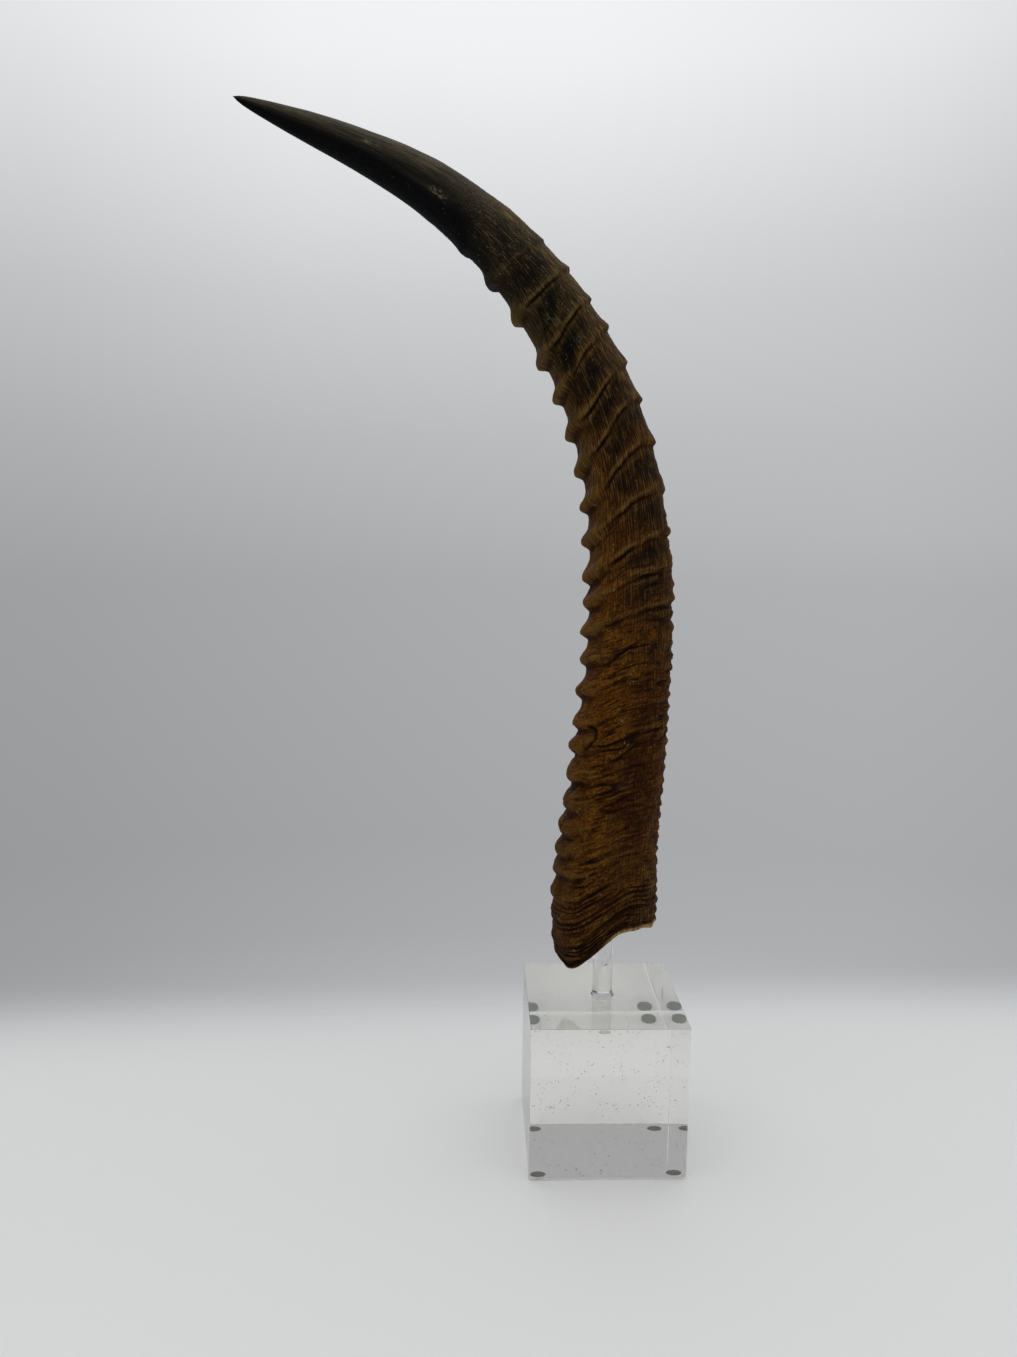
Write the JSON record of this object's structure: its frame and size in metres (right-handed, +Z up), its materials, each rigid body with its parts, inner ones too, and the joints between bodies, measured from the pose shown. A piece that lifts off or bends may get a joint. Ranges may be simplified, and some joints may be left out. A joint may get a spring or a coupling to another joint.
{
  "type": "impala horn on a clear stand",
  "caption": "Ridged impala horn, hollow at its base, hung over a clear acrylic rod that stands in a clear acrylic cube on small dark felt pads.",
  "frame": {"origin": "on the surface that the pads stand on, under the middle of the whole object's box; the block's centre is 69.35 mm along +X from it", "axes": "+Z up; -X is the front of the horn, the side with the large knobs, towards which its tip points; Y runs from side to side"},
  "size_m": [0.2144, 0.0762, 0.5028],
  "materials": {
    "horn": "satin",
    "acrylic": "polished",
    "felt": "matte"
  },
  "bodies": {
    "root": {"horn": "horn", "rod": "acrylic", "block": "acrylic", "pad_front_left": "felt", "pad_front_right": "felt", "pad_back_left": "felt", "pad_back_right": "felt"}
  },
  "joints": []
}
